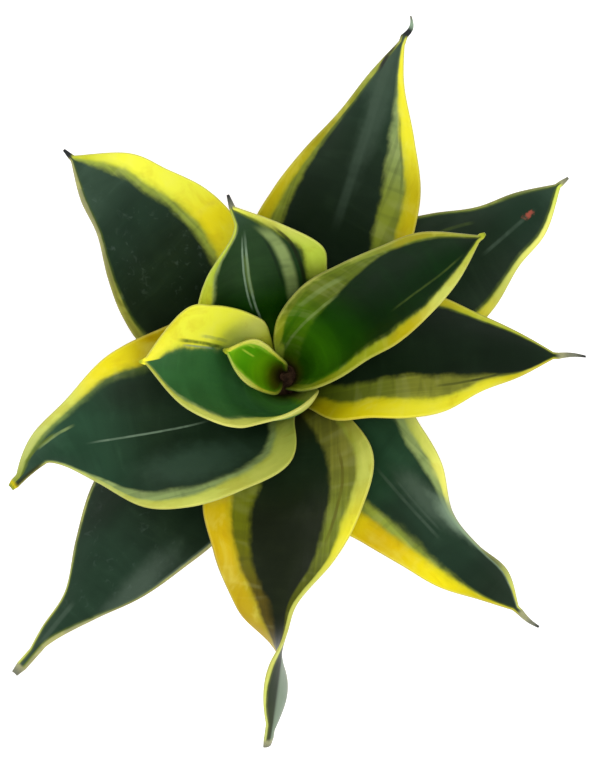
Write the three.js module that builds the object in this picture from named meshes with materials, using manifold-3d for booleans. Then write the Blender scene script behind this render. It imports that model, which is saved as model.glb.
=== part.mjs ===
// A potted snake plant: a dwarf bird's-nest rosette of twelve broad leaves in a plain tapered pot.
// Millimetres, +Z up. The origin is the centre of the pot's base, on the surface it stands on.
// +Y is the rosette's longest direction, from the long south leaf to the long north leaf.
import * as THREE from 'three';
import { mergeVertices } from 'three/addons/utils/BufferGeometryUtils.js';
import Module from 'manifold-3d';

// ---- Driving dimensions -------------------------------------------------------------------

const GAP = 0.3; // clearance between neighbouring pieces

const POT = {
  baseRadius: 31,
  shoulderRadius: 41, // body just under the rim band
  rimBottomRadius: 44.5,
  rimTopRadius: 46,
  rimHeight: 18,
  height: 88,
  wall: 4.5,
  rimWall: 5.5,
  lip: 1.2, // bevel on the rim's and the base's edges
  floor: 5,
  drainRadius: 4,
  drainCircle: 17, // radius of the circle that the drain holes stand on
  drains: 4,
  sides: 48,
  drainSides: 20,
};

const SOIL = {
  top: 78,
  crown: 2, // how much lower the soil is at the pot's wall
  shoulder: 12, // width of the slope down to the wall
  flare: 3, // how much the plant's hole widens up to the surface
};

const RHIZOME = {
  radius: 16.5,
  tailRadius: 8,
  top: 74,
  shoulder: 60, // where it starts to narrow downwards
  bottom: 46,
  round: 1.5, // bevel on its edges
  sides: 32,
  centre: [1, 0.7], // the rosette sits a little off the pot's axis
};

const LEAF = {
  stations: 18, // steps along the blade
  awnSteps: 2, // steps along the dry point at the tip
  across: 6, // steps from margin to margin
  thickness: [2.0, 2.2, 2.1, 1.6, 0.9], // at the midrib, from base to tip
  marginThickness: 0.45, // share of the midrib thickness left at the margin
  thinnest: 0.8,
  awnHalfWidth: [0.8, 0.4], // at the start and end of the dry point
};

// Each material's colour and roughness.
const LOOKS = {
  leaf: [0x2f4a30, 0.45],
  innerLeaf: [0x35601f, 0.45],
  heartLeaf: [0x5f8f1e, 0.45],
  rhizome: [0x4a3524, 0.8],
  soil: [0x35281f, 0.95],
  pot: [0xb5673f, 0.85],
};

// Each leaf is a curved midrib with a half width, a cup and a roll that change along it.
// midrib: control points of a Bezier curve. heading: the way the leaf faces, in degrees
// from +X. left, right: half widths seen from the crown, to which the tip adds 0.
// cupLeft, cupRight: how steeply each half stands at its margin, in degrees. roll: turn about
// the midrib, which lifts the left margin. awn: length of the dry point. awnHalf: its half
// widths, where it is blunter than the rest.
// Lists other than midrib are values at evenly spaced places from base to tip.
const LEAVES = {
  leaf_heart: {
    midrib: [[0, 1.3, 74.3], [-0.6, 1.6, 88], [-5, 4, 104], [-11, 7, 118], [-18, 9, 130]],
    heading: [150, 152, 156],
    left: [2.3, 4.2, 7.2, 9.8, 10, 9.6, 8.7, 5.8],
    right: [2.3, 3, 4.5, 6.5, 6.9, 7.4, 8.2, 7.2],
    cupLeft: [110, 110, 105, 95, 80, 68, 58, 50, 45],
    cupRight: [110, 110, 110, 105, 90, 75, 62, 50, 45],
    roll: [0],
    awn: 2,
  },
  leaf_northeast_inner: {
    midrib: [
      [4, 2.8, 74.6], [5.4, 4.4, 86], [10, 11, 112],
      [26, 20, 132], [44, 31, 148], [63.6, 44.4, 160.5],
    ],
    heading: [35, 38, 36],
    left: [7, 9.5, 15.5, 21, 22, 19.7, 16.4, 12],
    right: [8, 12.5, 17.3, 16, 14.5, 14.8, 12.4, 7.9],
    cupLeft: [110, 88, 82, 75, 56, 48, 42, 35, 30],
    cupRight: [125, 122, 110, 75, 56, 48, 42, 35, 30],
    roll: [0],
    awn: 1.5,
  },
  leaf_west_inner: {
    midrib: [
      [-4.6, -1.3, 75], [-7.4, -2.3, 85], [-16, -4, 110],
      [-24, 4, 134], [-33, 6, 148], [-43, 5, 157],
    ],
    heading: [200, 190, 175],
    left: [13, 23.5, 33, 31.8, 24.3, 23, 19.5, 13],
    right: [11, 14.5, 19.5, 23.8, 24.2, 23.4, 21.4, 17.6],
    cupLeft: [120, 138, 141, 121, 80, 60, 50, 40, 30],
    cupRight: [100, 92, 88, 82, 70, 58, 45, 35, 30],
    roll: [0],
    awn: 2,
  },
  leaf_northwest_inner: {
    midrib: [
      [0.3, 9.2, 75], [0, 12.7, 85], [-3, 19, 110],
      [-7, 32, 122], [-12, 45, 135], [-16, 57.3, 148],
    ],
    heading: [95, 100, 106],
    left: [9, 10.5, 16.2, 22, 26.8, 23.5, 16, 2.5],
    right: [9, 10.5, 18, 25.2, 24.5, 23.9, 24.6, 14],
    cupLeft: [60, 55, 50, 40, 30],
    cupRight: [60, 45, 32, 28, 25],
    roll: [0],
    awn: 5,
  },
  leaf_west: {
    midrib: [
      [-3.8, -6.2, 75], [-5.8, -9, 85], [-22, -14, 114],
      [-45, -14, 121], [-69, -14.5, 125], [-89, -36.2, 114],
    ],
    heading: [235, 205, 195],
    left: [9.4, 17.5, 32.5, 33.4, 32.2, 27.4, 14.6, 1.4],
    right: [9, 13, 26, 32.5, 30.2, 25, 14.3, 8.2],
    cupLeft: [66, 58, 38, 28, 20],
    cupRight: [60, 45, 35, 28, 20],
    roll: [0],
    awn: 2,
    awnHalf: [1.6, 1.1],
  },
  leaf_east: {
    midrib: [
      [9.2, -1.4, 75], [12.3, -2.2, 85], [27, 4, 110],
      [52, 7, 118], [76, 8, 124], [100, 7, 122],
    ],
    heading: [-15, 0, 5],
    left: [6.7, 8.5, 16.5, 25, 26, 22.7, 15, 7.7],
    right: [6.8, 12.2, 18, 18, 18.9, 17.5, 11.4, 6.9],
    cupLeft: [45, 45, 35, 30, 25],
    cupRight: [46, 50, 35, 30, 25],
    roll: [0],
    awn: 9,
  },
  leaf_south: {
    midrib: [
      [3.8, -9.9, 75], [4.7, -13.4, 85], [4, -33, 108],
      [-1, -62, 115], [0.8, -92, 115], [-4.4, -124.5, 98],
    ],
    heading: [285, 275, 265],
    left: [9.5, 21.5, 31.6, 27, 17.3, 5.4, 6.2, 4.2],
    right: [9.5, 12.5, 25, 29.4, 24.1, 15.4, 10.4, 9.2],
    cupLeft: [48, 44, 35, 30, 35],
    cupRight: [48, 44, 35, 30, 35],
    roll: [0, 0, 0, 0, 0, 26, 102, 135, 140],
    awn: 3,
    awnHalf: [1.9, 1.6],
  },
  leaf_north: {
    midrib: [
      [3.7, 11.2, 75], [4.5, 14.5, 85], [14, 35, 107],
      [24, 62, 115], [33, 88, 120], [43, 119, 118],
    ],
    heading: [75, 70, 70],
    left: [11.2, 14, 21.5, 28, 25.3, 19.8, 12.7, 7.1],
    right: [10.2, 12.5, 21, 28, 25.6, 22.3, 14, 5],
    cupLeft: [58, 43, 30, 28, 25],
    cupRight: [52, 42, 30, 28, 25],
    roll: [0],
    awn: 7,
  },
  leaf_northwest: {
    midrib: [
      [-8.3, 10.6, 75], [-10.6, 13.1, 83], [-25, 27, 99],
      [-41, 44, 106], [-56, 60, 112], [-71, 75, 118],
    ],
    heading: [133, 133, 130],
    left: [9, 12, 21, 27.8, 25.6, 19.7, 12, 7.6],
    right: [9, 12, 20, 24, 26.5, 25.4, 20.5, 14.8],
    cupLeft: [38, 38, 30, 25, 22],
    cupRight: [38, 38, 30, 25, 22],
    roll: [0],
    awn: 3,
  },
  leaf_southeast: {
    midrib: [
      [10.9, -8.6, 75], [13.4, -10.9, 83], [27, -29, 99],
      [47, -49, 107], [67, -68, 107], [87.4, -84.2, 98],
    ],
    heading: [317, 315, 315],
    left: [9, 13, 25, 23.4, 19.2, 10, 7.8, 8.1],
    right: [9, 12, 19.6, 23.8, 19.5, 15.5, 12, 5.6],
    cupLeft: [38, 38, 30, 28, 28],
    cupRight: [38, 38, 30, 28, 28],
    roll: [0],
    awn: 9,
  },
  leaf_southwest: {
    midrib: [
      [-8.2, -9.5, 75], [-10.4, -12, 83], [-29, -33, 99],
      [-49, -52, 107], [-69, -77, 105], [-91, -101, 90],
    ],
    heading: [228, 229, 230],
    left: [9, 12, 19, 22, 19.4, 15.4, 8.4, 2.6],
    right: [9, 12, 21, 26.5, 23.2, 14.9, 5.7, 3.4],
    cupLeft: [38, 38, 30, 26, 25],
    cupRight: [38, 38, 30, 26, 25],
    roll: [0],
    awn: 4,
    awnHalf: [1.7, 1.1],
  },
  leaf_northeast: {
    midrib: [
      [11.9, 8.9, 75], [14.6, 11, 83], [34, 22, 97],
      [56, 36, 106], [76, 51, 112], [95, 66, 116],
    ],
    heading: [37, 36, 33],
    left: [7.4, 10.5, 18, 23.5, 23.7, 18.4, 11, 6.8],
    right: [9, 12, 19, 22.5, 23.6, 20.4, 13.8, 10],
    cupLeft: [32, 36, 30, 26, 25],
    cupRight: [38, 38, 30, 26, 25],
    roll: [0],
    awn: 3,
  },
};

// ---- Curves -------------------------------------------------------------------------------

// A point on the Bezier curve of these control points, by repeated halving of the list.
function bezier(points, t) {
  let level = points.map((p) => new THREE.Vector3(...p));
  while (level.length > 1) {
    level = level.slice(1).map((p, i) => level[i].clone().lerp(p, t));
  }
  return level[0];
}

// Values at evenly spaced places from 0 to 1, joined by a smooth curve.
function along(values, s) {
  const last = values.length - 1;
  if (last === 0) return values[0];
  const at = (i) => {
    if (i < 0) return 2 * values[0] - values[1];
    if (i > last) return 2 * values[last] - values[last - 1];
    return values[i];
  };
  const x = THREE.MathUtils.clamp(s, 0, 1) * last;
  const i = Math.min(Math.floor(x), last - 1);
  const f = x - i;
  const [a, b, c, d] = [at(i - 1), at(i), at(i + 1), at(i + 2)];
  return b + 0.5 * f * (c - a + f * (2 * a - 5 * b + 4 * c - d + f * (3 * (b - c) + d - a)));
}

// ---- Leaves -------------------------------------------------------------------------------

const MIDRIB_SAMPLES = 400;
const TANGENT_STEP = 1e-3; // curve parameter either side of a point, for its direction

// The midrib's length up to each of its samples, and its whole length.
function measureMidrib(control) {
  const lengths = [0];
  let length = 0;
  let last = bezier(control, 0);
  for (let i = 1; i <= MIDRIB_SAMPLES; i++) {
    const point = bezier(control, i / MIDRIB_SAMPLES);
    length += point.distanceTo(last);
    lengths.push(length);
    last = point;
  }
  return { lengths, length };
}

// The curve parameter at which the midrib is this long.
function parameterAt(lengths, target) {
  const i = Math.max(1, lengths.findIndex((value) => value >= target - 1e-9));
  const share = (target - lengths[i - 1]) / (lengths[i] - lengths[i - 1]);
  return (i - 1 + share) / MIDRIB_SAMPLES;
}

// One cross-section of a leaf: points on the upper face and under it, left margin last.
function leafSection(leaf, measured, s) {
  const { lengths, length } = measured;
  const t = parameterAt(lengths, s * length);
  const centre = bezier(leaf.midrib, t);
  const tangent = bezier(leaf.midrib, Math.min(1, t + TANGENT_STEP))
    .sub(bezier(leaf.midrib, Math.max(0, t - TANGENT_STEP))).normalize();
  const heading = THREE.MathUtils.degToRad(along(leaf.heading, s));
  const left = new THREE.Vector3(-Math.sin(heading), Math.cos(heading), 0);
  left.addScaledVector(tangent, -left.dot(tangent)).normalize();
  left.applyAxisAngle(tangent, THREE.MathUtils.degToRad(along(leaf.roll, s)));
  const up = new THREE.Vector3().crossVectors(tangent, left);

  const bladeLength = length - leaf.awn;
  const blade = Math.min(1, (s * length) / bladeLength);
  const inAwn = Math.max(0, (s * length - bladeLength) / leaf.awn);
  const [awnStart, awnEnd] = leaf.awnHalf ?? LEAF.awnHalfWidth;
  const least = THREE.MathUtils.lerp(awnStart, awnEnd, inAwn);
  const midThickness = along(LEAF.thickness, s);

  const top = [];
  const under = [];
  for (let j = 0; j <= LEAF.across; j++) {
    const v = (2 * j) / LEAF.across - 1;
    const side = v < 0 ? -1 : 1;
    const halves = v < 0 ? leaf.right : leaf.left;
    const width = Math.max(least, along([...halves, 0], blade));
    const cup = THREE.MathUtils.degToRad(along(v < 0 ? leaf.cupRight : leaf.cupLeft, s));
    const radius = width / cup;
    const turn = Math.abs(v) * cup;
    const point = centre.clone()
      .addScaledVector(left, side * radius * Math.sin(turn))
      .addScaledVector(up, radius * (1 - Math.cos(turn)));
    const normal = up.clone().multiplyScalar(Math.cos(turn))
      .addScaledVector(left, -side * Math.sin(turn));
    const thin = 1 - (1 - LEAF.marginThickness) * v * v;
    const thickness = Math.max(LEAF.thinnest, midThickness * thin);
    top.push(point);
    under.push(point.clone().addScaledVector(normal, -thickness));
  }
  return { top, under };
}

// A closed blade: both faces split into triangles alike, margins and ends closed.
function leafGeometry(leaf) {
  const measured = measureMidrib(leaf.midrib);
  const bladeEnd = 1 - leaf.awn / measured.length;
  const places = [];
  for (let i = 0; i <= LEAF.stations; i++) places.push((i / LEAF.stations) * bladeEnd);
  for (let i = 1; i <= LEAF.awnSteps; i++) {
    places.push(THREE.MathUtils.lerp(bladeEnd, 1, i / LEAF.awnSteps));
  }
  const sections = places.map((s) => leafSection(leaf, measured, s));

  const row = LEAF.across + 1;
  const positions = [];
  for (const face of ['top', 'under']) {
    for (const section of sections) {
      for (const point of section[face]) positions.push(point.x, point.y, point.z);
    }
  }
  const underStart = sections.length * row;
  const triangles = [];
  const quad = (a, b, c, d) => triangles.push(a, b, c, a, c, d);
  for (let i = 0; i < sections.length - 1; i++) {
    for (let j = 0; j < LEAF.across; j++) {
      const a = i * row + j;
      quad(a, a + row, a + row + 1, a + 1);
      quad(underStart + a, underStart + a + 1, underStart + a + row + 1, underStart + a + row);
    }
    const right = i * row;
    const left = right + LEAF.across;
    quad(right, underStart + right, underStart + right + row, right + row);
    quad(left, left + row, underStart + left + row, underStart + left);
  }
  for (const [i, flip] of [[0, false], [sections.length - 1, true]]) {
    for (let j = 0; j < LEAF.across; j++) {
      const a = i * row + j;
      if (flip) quad(a, underStart + a, underStart + a + 1, a + 1);
      else quad(a, a + 1, underStart + a + 1, underStart + a);
    }
  }
  const geometry = new THREE.BufferGeometry();
  geometry.setAttribute('position', new THREE.Float32BufferAttribute(positions, 3));
  geometry.setIndex(triangles);
  return geometry;
}

// ---- Pot, soil and rhizome ----------------------------------------------------------------

// A solid of revolution about +Z from [radius, height] pairs, listed from the bottom outwards.
function turned(profile, sides) {
  const points = profile.map(([r, z]) => new THREE.Vector2(r, z));
  const geometry = new THREE.LatheGeometry(points, sides);
  geometry.rotateX(Math.PI / 2);
  return geometry;
}

// The inside wall's radius at a height, for the pot and for the soil that fills it.
function potInside(z) {
  const low = POT.baseRadius - POT.wall;
  const high = POT.rimTopRadius - POT.rimWall;
  return THREE.MathUtils.mapLinear(z, POT.floor, POT.height, low, high);
}

const { Manifold, Mesh } = await (async () => {
  const wasm = await Module();
  wasm.setup();
  return wasm;
})();

function toSolid(geometry) {
  const bare = geometry.clone();
  bare.deleteAttribute('normal');
  bare.deleteAttribute('uv');
  const merged = mergeVertices(bare, 1e-4);
  return new Manifold(new Mesh({
    numProp: 3,
    vertProperties: new Float32Array(merged.attributes.position.array),
    triVerts: new Uint32Array(merged.index.array),
  }));
}

function toGeometry(solid) {
  const mesh = solid.getMesh();
  const geometry = new THREE.BufferGeometry();
  geometry.setAttribute('position', new THREE.Float32BufferAttribute(mesh.vertProperties, 3));
  geometry.setIndex([...mesh.triVerts]);
  return geometry;
}

function potGeometry() {
  const shoulder = POT.height - POT.rimHeight;
  const { lip } = POT;
  const shell = turned([
    [0, 0],
    [POT.baseRadius - lip, 0],
    [POT.baseRadius, lip],
    [POT.shoulderRadius, shoulder],
    [POT.rimBottomRadius - lip, shoulder],
    [POT.rimBottomRadius, shoulder + lip],
    [POT.rimTopRadius, POT.height - lip],
    [POT.rimTopRadius - lip, POT.height],
    [potInside(POT.height) + lip, POT.height],
    [potInside(POT.height - lip), POT.height - lip],
    [potInside(POT.floor), POT.floor],
    [0, POT.floor],
  ], POT.sides);
  let pot = toSolid(shell);
  for (let i = 0; i < POT.drains; i++) {
    const angle = ((i + 0.5) / POT.drains) * 2 * Math.PI;
    const { drainRadius, floor, drainSides } = POT;
    const drain = new THREE.CylinderGeometry(drainRadius, drainRadius, 3 * floor, drainSides);
    drain.rotateX(Math.PI / 2);
    drain.translate(POT.drainCircle * Math.cos(angle), POT.drainCircle * Math.sin(angle), 0);
    pot = pot.subtract(toSolid(drain));
  }
  return toGeometry(pot);
}

// Soil fills the pot to below its rim, with a plain round hole where the plant stands.
function soilGeometry() {
  const bottom = POT.floor + GAP;
  const wallTop = SOIL.top - SOIL.crown;
  const filling = turned([
    [0, bottom],
    [potInside(bottom) - GAP, bottom],
    [potInside(wallTop) - GAP, wallTop],
    [potInside(wallTop) - SOIL.shoulder, SOIL.top],
    [0, SOIL.top],
  ], POT.sides);
  const hole = turned([
    [0, RHIZOME.bottom - GAP],
    [RHIZOME.tailRadius + GAP, RHIZOME.bottom - GAP],
    [RHIZOME.radius + GAP, RHIZOME.shoulder],
    [RHIZOME.radius + GAP, RHIZOME.top],
    [RHIZOME.radius + SOIL.flare, SOIL.top],
    [RHIZOME.radius + SOIL.flare, POT.height],
    [0, POT.height],
  ], RHIZOME.sides);
  hole.translate(...RHIZOME.centre, 0);
  return toGeometry(toSolid(filling).subtract(toSolid(hole)));
}

function rhizomeGeometry() {
  const { radius, tailRadius, top, shoulder, bottom, round } = RHIZOME;
  const knob = turned([
    [0, bottom],
    [tailRadius - round, bottom],
    [tailRadius, bottom + round],
    [radius, shoulder + round],
    [radius, top - round],
    [radius - round, top],
    [0, top],
  ], RHIZOME.sides);
  knob.translate(...RHIZOME.centre, 0);
  return knob;
}

// ---- The plant ----------------------------------------------------------------------------

function addPiece(group, name, geometry, [color, roughness]) {
  const material = new THREE.MeshStandardMaterial({ color, roughness, metalness: 0 });
  const mesh = new THREE.Mesh(geometry, material);
  mesh.name = name;
  group.add(mesh);
}

const group = new THREE.Group();
addPiece(group, 'pot', potGeometry(), LOOKS.pot);
addPiece(group, 'soil', soilGeometry(), LOOKS.soil);
addPiece(group, 'rhizome', rhizomeGeometry(), LOOKS.rhizome);
for (const [name, leaf] of Object.entries(LEAVES)) {
  let look = LOOKS.leaf;
  if (name.endsWith('inner')) look = LOOKS.innerLeaf;
  if (name === 'leaf_heart') look = LOOKS.heartLeaf;
  addPiece(group, name, leafGeometry(leaf), look);
}

export default group;
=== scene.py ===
"""Potted snake plant: the looks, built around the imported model.

Metres, +Z up, +Y up in the picture. The forms are given in millimetres.
"""

import math

import bpy
import numpy as np
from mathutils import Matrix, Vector


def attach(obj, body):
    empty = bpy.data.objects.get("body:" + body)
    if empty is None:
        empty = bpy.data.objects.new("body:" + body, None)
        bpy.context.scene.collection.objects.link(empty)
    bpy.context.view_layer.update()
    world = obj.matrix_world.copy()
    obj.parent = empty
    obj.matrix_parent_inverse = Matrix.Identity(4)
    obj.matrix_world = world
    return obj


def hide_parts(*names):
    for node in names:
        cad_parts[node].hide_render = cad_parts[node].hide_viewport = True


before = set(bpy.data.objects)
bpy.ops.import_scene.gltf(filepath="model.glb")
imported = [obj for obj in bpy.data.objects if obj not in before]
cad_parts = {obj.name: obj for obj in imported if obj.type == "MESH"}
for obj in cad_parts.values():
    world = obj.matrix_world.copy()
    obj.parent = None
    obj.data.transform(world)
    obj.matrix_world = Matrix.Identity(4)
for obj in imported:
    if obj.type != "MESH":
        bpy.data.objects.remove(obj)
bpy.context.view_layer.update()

MM = 0.001

# ---- The leaves' form, as the CAD has it: millimetres and degrees --------------------------

THICKNESS = [2.0, 2.2, 2.1, 1.6, 0.9]  # at the midrib, from base to tip
MARGIN_THICKNESS = 0.45  # share of it left at the margin
THINNEST = 0.8
AWN_HALF_WIDTH = (0.8, 0.35)
AWN_THINNING = 0.55  # share of the thickness left at the end of the dry point

# A leaf is a curved midrib with a half width, a cup and a roll that change along it. awn: length
# of its dry point. awn_half: the point's half widths. bow: how far the point bends to the left.
FORM = {}
FORM["leaf_heart"] = dict(
    midrib=[[0, 1.3, 74.3], [-0.6, 1.6, 88], [-5, 4, 104], [-11, 7, 118], [-18, 9, 130]],
    heading=[150, 152, 156],
    left=[2.3, 4.2, 7.2, 9.8, 10, 9.6, 8.7, 5.8],
    right=[2.3, 3, 4.5, 6.5, 6.9, 7.4, 8.2, 7.2],
    cup_left=[110, 110, 105, 95, 80, 68, 58, 50, 45],
    cup_right=[110, 110, 110, 105, 90, 75, 62, 50, 45],
    awn=2,
)
FORM["leaf_northeast_inner"] = dict(
    midrib=[[4, 2.8, 74.6], [5.4, 4.4, 86], [10, 11, 112], [26, 20, 132], [44, 31, 148],
            [63.6, 44.4, 160.5]],
    heading=[35, 38, 36],
    left=[7, 9.5, 15.5, 21, 22, 19.7, 16.4, 12],
    right=[8, 12.5, 17.3, 16, 14.5, 14.8, 12.4, 7.9],
    cup_left=[110, 88, 82, 75, 56, 48, 42, 35, 30],
    cup_right=[125, 122, 110, 75, 56, 48, 42, 35, 30],
    awn=1.5,
)
FORM["leaf_west_inner"] = dict(
    midrib=[[-4.6, -1.3, 75], [-7.4, -2.3, 85], [-16, -4, 110], [-24, 4, 134], [-33, 6, 148],
            [-43, 5, 157]],
    heading=[200, 190, 175],
    left=[13, 23.5, 33, 31.8, 24.3, 23, 19.5, 13],
    right=[11, 14.5, 19.5, 23.8, 24.2, 23.4, 21.4, 17.6],
    cup_left=[120, 138, 141, 121, 80, 60, 50, 40, 30],
    cup_right=[100, 92, 88, 82, 70, 58, 45, 35, 30],
    awn=2,
)
FORM["leaf_northwest_inner"] = dict(
    midrib=[[0.3, 9.2, 75], [0, 12.7, 85], [-3, 19, 110], [-7, 32, 122], [-12, 45, 135],
            [-16, 57.3, 148]],
    heading=[95, 100, 106],
    left=[9, 10.5, 16.2, 22, 26.8, 23.5, 16, 2.5],
    right=[9, 10.5, 18, 25.2, 24.5, 23.9, 24.6, 14],
    cup_left=[60, 55, 50, 40, 30],
    cup_right=[60, 45, 32, 28, 25],
    awn=5,
)
FORM["leaf_west"] = dict(
    midrib=[[-3.8, -6.2, 75], [-5.8, -9, 85], [-22, -14, 114], [-45, -14, 121],
            [-69, -14.5, 125], [-89, -36.2, 114]],
    heading=[235, 205, 195],
    left=[9.4, 17.5, 32.5, 33.4, 32.2, 27.4, 14.6, 1.4],
    right=[9, 13, 26, 32.5, 30.2, 25, 14.3, 8.2],
    cup_left=[66, 58, 38, 28, 20],
    cup_right=[60, 45, 35, 28, 20],
    awn=2,
    awn_half=(1.6, 1.1),
)
FORM["leaf_east"] = dict(
    midrib=[[9.2, -1.4, 75], [12.3, -2.2, 85], [27, 4, 110], [52, 7, 118], [76, 8, 124],
            [100, 7, 122]],
    heading=[-15, 0, 5],
    left=[6.7, 8.5, 16.5, 25, 26, 22.7, 15, 7.7],
    right=[6.8, 12.2, 18, 18, 18.9, 17.5, 11.4, 6.9],
    cup_left=[45, 45, 35, 30, 25],
    cup_right=[46, 50, 35, 30, 25],
    awn=9,
    awn_half=(0.9, 0.25),
    bow=0.4,
)
FORM["leaf_south"] = dict(
    midrib=[[3.8, -9.9, 75], [4.7, -13.4, 85], [4, -33, 108], [-1, -62, 115], [0.8, -92, 115],
            [-4.4, -124.5, 98]],
    heading=[285, 275, 265],
    left=[9.5, 21.5, 31.6, 27, 17.3, 5.4, 6.2, 4.2],
    right=[9.5, 12.5, 25, 29.4, 24.1, 15.4, 10.4, 9.2],
    cup_left=[48, 44, 35, 30, 35],
    cup_right=[48, 44, 35, 30, 35],
    roll=[0, 0, 0, 0, 0, 26, 102, 135, 140],
    awn=3,
    awn_half=(1.9, 1.6),
)
FORM["leaf_north"] = dict(
    midrib=[[3.7, 11.2, 75], [4.5, 14.5, 85], [14, 35, 107], [24, 62, 115], [33, 88, 120],
            [43, 119, 118]],
    heading=[75, 70, 70],
    left=[11.2, 14, 21.5, 28, 25.3, 19.8, 12.7, 7.1],
    right=[10.2, 12.5, 21, 28, 25.6, 22.3, 14, 5],
    cup_left=[58, 43, 30, 28, 25],
    cup_right=[52, 42, 30, 28, 25],
    awn=7,
    awn_half=(1.0, 0.22),
    bow=-1.3,
)
FORM["leaf_northwest"] = dict(
    midrib=[[-8.3, 10.6, 75], [-10.6, 13.1, 83], [-25, 27, 99], [-41, 44, 106], [-56, 60, 112],
            [-71, 75, 118]],
    heading=[133, 133, 130],
    left=[9, 12, 21, 27.8, 25.6, 19.7, 12, 7.6],
    right=[9, 12, 20, 24, 26.5, 25.4, 20.5, 14.8],
    cup_left=[38, 38, 30, 25, 22],
    cup_right=[38, 38, 30, 25, 22],
    awn=3,
)
FORM["leaf_southeast"] = dict(
    midrib=[[10.9, -8.6, 75], [13.4, -10.9, 83], [27, -29, 99], [47, -49, 107], [67, -68, 107],
            [87.4, -84.2, 98]],
    heading=[317, 315, 315],
    left=[9, 13, 25, 23.4, 19.2, 10, 7.8, 8.1],
    right=[9, 12, 19.6, 23.8, 19.5, 15.5, 12, 5.6],
    cup_left=[38, 38, 30, 28, 28],
    cup_right=[38, 38, 30, 28, 28],
    awn=9,
    awn_half=(1.0, 0.3),
    bow=-0.4,
)
FORM["leaf_southwest"] = dict(
    midrib=[[-8.2, -9.5, 75], [-10.4, -12, 83], [-29, -33, 99], [-49, -52, 107], [-69, -77, 105],
            [-91, -101, 90]],
    heading=[228, 229, 230],
    left=[9, 12, 19, 22, 19.4, 15.4, 8.4, 2.6],
    right=[9, 12, 21, 26.5, 23.2, 14.9, 5.7, 3.4],
    cup_left=[38, 38, 30, 26, 25],
    cup_right=[38, 38, 30, 26, 25],
    awn=4,
    awn_half=(1.7, 1.1),
)
FORM["leaf_northeast"] = dict(
    midrib=[[11.9, 8.9, 75], [14.6, 11, 83], [34, 22, 97], [56, 36, 106], [76, 51, 112],
            [95, 66, 116]],
    heading=[37, 36, 33],
    left=[7.4, 10.5, 18, 23.5, 23.7, 18.4, 11, 6.8],
    right=[9, 12, 19, 22.5, 23.6, 20.4, 13.8, 10],
    cup_left=[32, 36, 30, 26, 25],
    cup_right=[38, 38, 30, 26, 25],
    awn=3,
)

# ---- The leaves' colours --------------------------------------------------------------------

# sRGB, 0 to 255
TONES = dict(
    # bands, yellow margins, streaks and tips, and the pale grey-green that paints sheen
    jet=(2, 34, 2), ink=(14, 30, 14), bottle=(20, 34, 20), forest=(26, 43, 27), fir=(30, 52, 36),
    pine=(35, 66, 45), slate=(52, 74, 58), mist=(78, 96, 80), earth=(24, 32, 14), peat=(46, 50, 22),
    umber=(86, 74, 12), khaki=(112, 118, 12), meadow=(84, 128, 12), grass=(50, 104, 6),
    ivy=(18, 60, 2), apple=(96, 168, 76), emerald=(74, 132, 78), jade=(50, 100, 52),
    lime_flesh=(124, 186, 10), leaf_green=(88, 164, 8), pea=(150, 206, 40), clover=(40, 80, 30),
    thicket=(29, 57, 25), celery=(148, 168, 102), sage=(114, 138, 70), fern=(74, 92, 36),
    moss=(98, 114, 26), olive=(130, 142, 44), reed=(150, 154, 54), rush=(156, 172, 66),
    bronze=(82, 88, 12), gold=(202, 186, 10), amber=(224, 190, 8), ochre=(190, 162, 4),
    mustard=(154, 148, 16), sun=(251, 234, 20), butter=(253, 244, 50), lemon=(253, 253, 68),
    primrose=(253, 253, 124), straw=(214, 220, 100), hay=(186, 196, 106), lime=(205, 226, 76),
    citron=(172, 180, 36), dull=(138, 138, 54), drab=(100, 108, 74), silver=(140, 164, 138),
    charcoal=(40, 42, 44), ash=(112, 114, 96), tan=(150, 150, 110),
    # what every leaf shares
    haze=(205, 210, 145), green_gold=(120, 150, 40), pale_gold=(253, 252, 124),
    gold_bar=(252, 250, 140), gold_edge=(225, 228, 130), margin=(140, 130, 70),
    dust=(140, 160, 150), scar=(164, 78, 62), underside=(132, 150, 126), leaf_base=(44, 32, 14),
    # pot, soil and rhizome
    clay=(176, 98, 62), pale_clay=(198, 122, 84), clay_bloom=(222, 188, 160),
    damp_clay=(140, 74, 46), clay_grit=(120, 66, 44), loam=(38, 27, 20), pale_loam=(84, 62, 44),
    sand=(128, 104, 78), perlite=(196, 188, 172), bark_chip=(96, 62, 36), fibre=(30, 21, 12),
    pale_fibre=(60, 44, 26), ring=(24, 17, 10),
)

# Widths and tones are at evenly spaced places from the leaf's base to its tip, a streak's distances
# from its start to its end.
# yellow, grey: widths of the yellow margin and of the grey-green band inside it, left and right.
# centre: tones, named in one string. gold, band: the same for the yellow and the grey-green, left
# and right. point: the same for the dry tip.
# streaks: (start, end, distances, width, strength, tone), lines so far left of the midrib.
# patches: (along, across, reach along, reach across, strength, tone), under the yellow; the pale
# ones are painted sheen.
# marks: the same, over it. mottle: how strong the cross bands are. Lengths are millimetres.
# brown: share of the leaf that is brown and darker towards its base, partly painted shade.
# pale_and_sheen_under: how pale the underside is, left and right; where one side is far paler, it
# is painted sheen.
# scar: (along, across, size). dust: how strong the pale dust is.

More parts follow.
